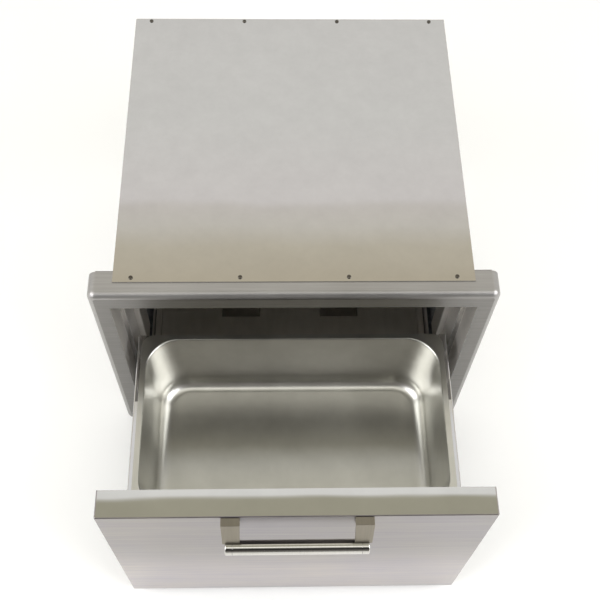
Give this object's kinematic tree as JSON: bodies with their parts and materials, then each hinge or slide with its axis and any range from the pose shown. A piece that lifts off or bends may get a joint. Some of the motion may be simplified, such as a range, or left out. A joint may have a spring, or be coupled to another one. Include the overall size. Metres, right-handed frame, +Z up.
{
  "type": "uv sterilizer cabinet",
  "caption": "Stainless steel cabinet with a bull-nosed front frame and a deep pull-out drawer that carries a lift-out pan under an ultraviolet lamp.",
  "frame": {"origin": "middle of the underside of the cabinet's body, on the surface it stands on", "axes": "+X to the right seen from the front, +Y from the front to the back, +Z up"},
  "size_m": [0.652, 0.9723, 0.4987],
  "materials": {
    "satin_stainless": "satin cold-rolled",
    "brushed_stainless": "fine horizontal brushing",
    "drawn_stainless": "smooth deep-drawn",
    "polished_stainless": "polished tube",
    "zinc_plated_steel": "zinc plated",
    "ballast_case": "plain sheet",
    "lamp_glass": "clear quartz glass",
    "white_plastic": "moulded",
    "black_plastic": "moulded",
    "reflector_aluminium": "bright rolled"
  },
  "bodies": {
    "cabinet": {"back_panel": "satin_stainless", "bottom_panel": "satin_stainless", "cavity_floor_front": "satin_stainless", "cavity_floor_rear": "satin_stainless", "drawer_switch": "black_plastic", "floor_channel_left": "satin_stainless", "floor_channel_right": "satin_stainless", "front_frame": "brushed_stainless", "lamp_ballast": "ballast_case", "lamp_holder_left": "white_plastic", "lamp_holder_right": "white_plastic", "lamp_reflector": "reflector_aluminium", "power_inlet": "black_plastic", "rear_partition": "satin_stainless", "side_panel_left": "satin_stainless", "side_panel_right": "satin_stainless", "slide_fixed_left": "zinc_plated_steel", "slide_fixed_right": "zinc_plated_steel", "terminal_block": "white_plastic", "top_panel": "satin_stainless", "top_screw_back_1": "zinc_plated_steel", "top_screw_back_2": "zinc_plated_steel", "top_screw_back_3": "zinc_plated_steel", "top_screw_back_4": "zinc_plated_steel", "top_screw_front_1": "zinc_plated_steel", "top_screw_front_2": "zinc_plated_steel", "top_screw_front_3": "zinc_plated_steel", "top_screw_front_4": "zinc_plated_steel", "uv_lamp": "lamp_glass", "wall_upright_left": "satin_stainless", "wall_upright_right": "satin_stainless"},
    "slide_middle_left": {"slide_middle_left": "zinc_plated_steel"},
    "slide_middle_right": {"slide_middle_right": "zinc_plated_steel"},
    "drawer": {"drawer_front_liner": "brushed_stainless", "drawer_front_rail": "satin_stainless", "drawer_front_skin": "brushed_stainless", "drawer_rail_left": "satin_stainless", "drawer_rail_right": "satin_stainless", "drawer_rear_rail": "satin_stainless", "handle_bracket_left": "brushed_stainless", "handle_bracket_right": "brushed_stainless", "handle_cap_left": "polished_stainless", "handle_cap_right": "polished_stainless", "handle_screw_left": "zinc_plated_steel", "handle_screw_right": "zinc_plated_steel", "handle_tube": "polished_stainless", "slide_drawer_left": "zinc_plated_steel", "slide_drawer_right": "zinc_plated_steel", "switch_magnet": "black_plastic"},
    "pan": {"pan": "drawn_stainless"}
  },
  "joints": [
    {"name": "drawer_slide", "type": "slide", "parent": "cabinet", "child": "drawer", "axis": [0, -1, 0], "range_m": [-0.338, 0.05]},
    {"name": "slide_left_follow", "type": "slide", "parent": "cabinet", "child": "slide_middle_left", "axis": [0, -1, 0], "range_m": [-0.169, 0.025]},
    {"name": "slide_right_follow", "type": "slide", "parent": "cabinet", "child": "slide_middle_right", "axis": [0, -1, 0], "range_m": [-0.169, 0.025]},
    {"name": "pan_lift", "type": "slide", "parent": "drawer", "child": "pan", "axis": [0, 0, 1], "range_m": [0, 0.155]}
  ],
  "couplings": [
    {"joint": "slide_left_follow", "follows": "drawer_slide", "ratio": 0.5},
    {"joint": "slide_right_follow", "follows": "drawer_slide", "ratio": 0.5}
  ]
}
